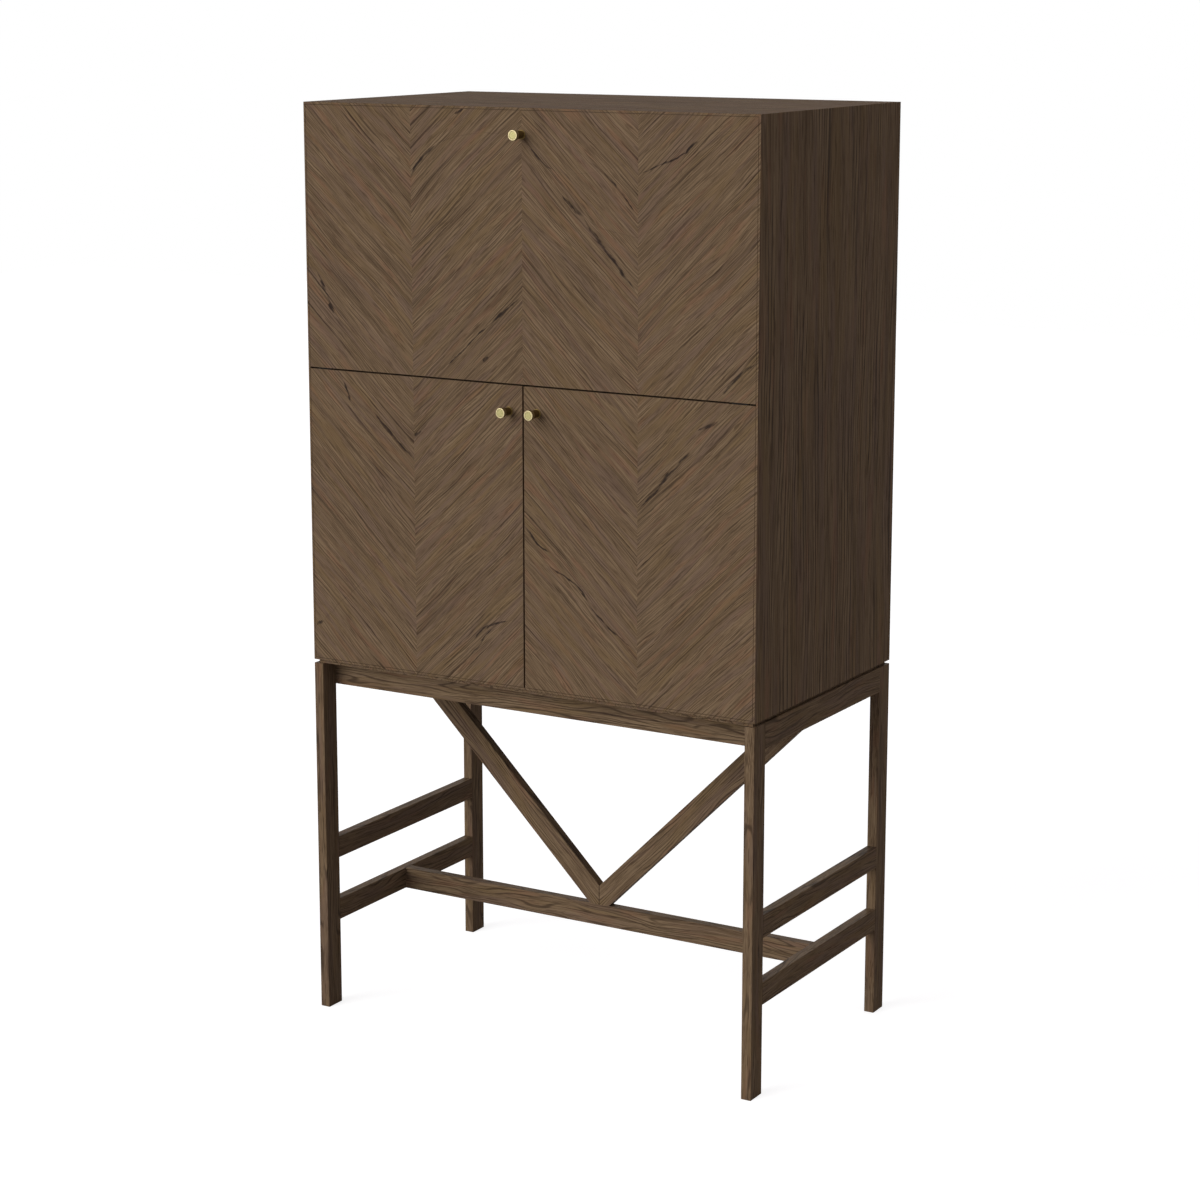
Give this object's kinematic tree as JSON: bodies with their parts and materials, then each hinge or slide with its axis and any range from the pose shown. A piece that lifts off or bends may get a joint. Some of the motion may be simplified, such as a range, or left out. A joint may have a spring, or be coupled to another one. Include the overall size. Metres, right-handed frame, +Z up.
{
  "type": "bar cabinet with fold out shelf",
  "caption": "Bar cabinet on an open braced stand, with a fall flap that folds out into a shelf above a pair of hinged doors with round knobs.",
  "frame": {"origin": "on the floor under the middle of the box round the closed cabinet, knobs included", "axes": "+X to the right as seen from the front, +Y from the front towards the back, +Z up"},
  "size_m": [0.81, 0.5, 1.496],
  "materials": {
    "front_veneer": "stained oak veneer, matt lacquer, grain at a slant",
    "side_veneer": "stained oak veneer, matt lacquer, upright grain",
    "top_veneer": "stained oak veneer, matt lacquer, grain along the width",
    "solid_oak": "stained solid oak, matt lacquer",
    "inner_veneer": "stained oak veneer, matt lacquer",
    "beech": "raw beech",
    "brass": "brushed brass",
    "steel": "zinc plated",
    "black_steel": "black, matt"
  },
  "bodies": {
    "cabinet": {"left_side_panel": "side_veneer", "right_side_panel": "side_veneer", "top_panel": "top_veneer", "front_left_leg": "solid_oak", "rear_left_leg": "solid_oak", "front_right_leg": "solid_oak", "rear_right_leg": "solid_oak", "left_top_rail": "solid_oak", "left_upper_rail": "solid_oak", "left_lower_rail": "solid_oak", "right_top_rail": "solid_oak", "right_upper_rail": "solid_oak", "right_lower_rail": "solid_oak", "front_top_rail": "solid_oak", "rear_top_rail": "solid_oak", "centre_stretcher": "solid_oak", "left_brace": "solid_oak", "right_brace": "solid_oak", "front_plinth": "solid_oak", "rear_plinth": "solid_oak", "left_plinth": "solid_oak", "right_plinth": "solid_oak", "bottom_panel": "inner_veneer", "divider": "inner_veneer", "divider_batten": "inner_veneer", "shelf": "inner_veneer", "back_panel": "inner_veneer", "frame_dowels": "beech", "divider_dowels": "beech", "corner_splines": "beech", "stay_guides": "brass", "stand_bolts": "steel", "pivot_pins": "steel", "bracket_screws": "steel", "back_screws": "steel", "shelf_pins": "steel", "catch_magnets": "steel", "flap_brackets": "black_steel", "lower_door_brackets": "black_steel", "upper_door_brackets": "black_steel"},
    "flap": {"flap": "front_veneer", "flap_knob": "brass", "flap_knob_screw": "steel", "flap_strikes": "steel", "flap_bushes": "brass", "stay_feet": "brass", "stay_foot_pins": "brass", "stay_foot_screws": "steel"},
    "left_door": {"left_door": "front_veneer", "left_door_knob": "brass", "left_door_knob_screw": "steel", "left_door_strike": "steel", "left_door_bushes": "brass"},
    "right_door": {"right_door": "front_veneer", "right_door_knob": "brass", "right_door_knob_screw": "steel", "right_door_strike": "steel", "right_door_bushes": "brass"},
    "left_stay": {"left_stay": "brass"},
    "right_stay": {"right_stay": "brass"}
  },
  "joints": [
    {"name": "flap_fold", "type": "hinge", "parent": "cabinet", "child": "flap", "pos_m": [0, -0.2208, 1.093], "axis": [1, 0, 0], "range_deg": [0, 90]},
    {"name": "left_stay_turn", "type": "hinge", "parent": "flap", "child": "left_stay", "pos_m": [-0.38025, -0.195, 1.271], "axis": [1, 0, 0], "range_deg": [-45, 0]},
    {"name": "right_stay_turn", "type": "hinge", "parent": "flap", "child": "right_stay", "pos_m": [0.38025, -0.195, 1.271], "axis": [1, 0, 0], "range_deg": [-45, 0]},
    {"name": "left_door_swing", "type": "hinge", "parent": "cabinet", "child": "left_door", "pos_m": [-0.385, -0.2208, 0.837], "axis": [0, 0, -1], "range_deg": [0, 110]},
    {"name": "right_door_swing", "type": "hinge", "parent": "cabinet", "child": "right_door", "pos_m": [0.385, -0.2208, 0.837], "axis": [0, 0, 1], "range_deg": [0, 110]}
  ],
  "couplings": [
    {"joint": "left_stay_turn", "follows": "flap_fold", "ratio": -0.5},
    {"joint": "right_stay_turn", "follows": "flap_fold", "ratio": -0.5}
  ]
}
